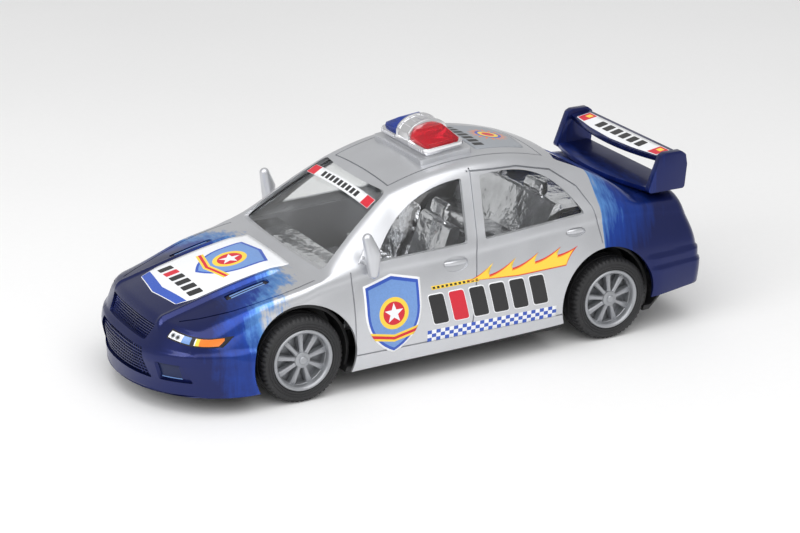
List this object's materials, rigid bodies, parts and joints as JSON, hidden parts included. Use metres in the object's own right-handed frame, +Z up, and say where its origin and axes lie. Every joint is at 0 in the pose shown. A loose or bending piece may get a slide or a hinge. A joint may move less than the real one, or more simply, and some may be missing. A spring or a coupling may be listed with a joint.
{
  "type": "toy police car",
  "caption": "Toy saloon police car with roof light bar, rear wing, rolling wheels and a friction motor that drives a flywheel from the rear axle.",
  "frame": {"origin": "on the ground under the middle of the car", "axes": "+X to the nose, +Y to the car's left side, +Z up"},
  "size_m": [0.241, 0.098, 0.0917],
  "materials": {
    "body_paint": "metallic silver paint with blue sprayed ends",
    "clear_plastic": "clear polished plastic",
    "bright_interior": "bright metallised plastic",
    "bright_trim": "bright metallised plastic",
    "red_lens": "clear red",
    "blue_lens": "clear blue",
    "blue_paint": "metallic blue paint",
    "black_plastic": "moulded",
    "steel": "bright steel",
    "motor_plastic": "moulded",
    "wheel_plastic": "grey silver paint",
    "tyre_rubber": "matte",
    "gear_plastic": "moulded",
    "flywheel_metal": "turned"
  },
  "bodies": {
    "car": {"body_shell": "body_paint", "window_glazing": "clear_plastic", "cabin_interior": "bright_interior", "steering_wheel": "bright_interior", "mirror_left": "body_paint", "mirror_right": "body_paint", "lightbar_base": "bright_trim", "lens_red": "red_lens", "lens_blue": "blue_lens", "rear_spoiler": "blue_paint", "chassis_plate": "black_plastic", "chassis_screws": "steel", "motor_case_left": "motor_plastic", "motor_case_right": "motor_plastic", "motor_screws": "steel"},
    "front_wheels": {"front_axle": "steel", "front_wheel_left": "wheel_plastic", "front_wheel_right": "wheel_plastic", "front_tyre_left": "tyre_rubber", "front_tyre_right": "tyre_rubber"},
    "rear_wheels": {"rear_axle": "steel", "rear_wheel_left": "wheel_plastic", "rear_wheel_right": "wheel_plastic", "rear_tyre_left": "tyre_rubber", "rear_tyre_right": "tyre_rubber", "axle_gear": "gear_plastic"},
    "first_train": {"first_gear": "gear_plastic", "first_shaft": "steel"},
    "second_train": {"second_gear": "gear_plastic", "second_shaft": "steel"},
    "flywheel_train": {"flywheel": "flywheel_metal", "flywheel_pinion": "gear_plastic", "flywheel_shaft": "steel"}
  },
  "joints": [
    {"name": "front_axle_spin", "type": "hinge", "parent": "car", "child": "front_wheels", "pos_m": [0.063, 0, 0.0172], "axis": [0, 1, 0], "continuous": true},
    {"name": "rear_axle_spin", "type": "hinge", "parent": "car", "child": "rear_wheels", "pos_m": [-0.075, 0, 0.0172], "axis": [0, 1, 0], "continuous": true},
    {"name": "first_gear_spin", "type": "hinge", "parent": "car", "child": "first_train", "pos_m": [-0.06615, 0, 0.02339], "axis": [0, 1, 0], "continuous": true},
    {"name": "second_gear_spin", "type": "hinge", "parent": "car", "child": "second_train", "pos_m": [-0.05535, 0, 0.02339], "axis": [0, 1, 0], "continuous": true},
    {"name": "flywheel_spin", "type": "hinge", "parent": "car", "child": "flywheel_train", "pos_m": [-0.04492, 0, 0.0206], "axis": [0, 1, 0], "continuous": true}
  ],
  "couplings": [
    {"joint": "second_gear_spin", "follows": "flywheel_spin", "ratio": -0.38462},
    {"joint": "first_gear_spin", "follows": "flywheel_spin", "ratio": 0.14793},
    {"joint": "rear_axle_spin", "follows": "flywheel_spin", "ratio": -0.056896}
  ]
}
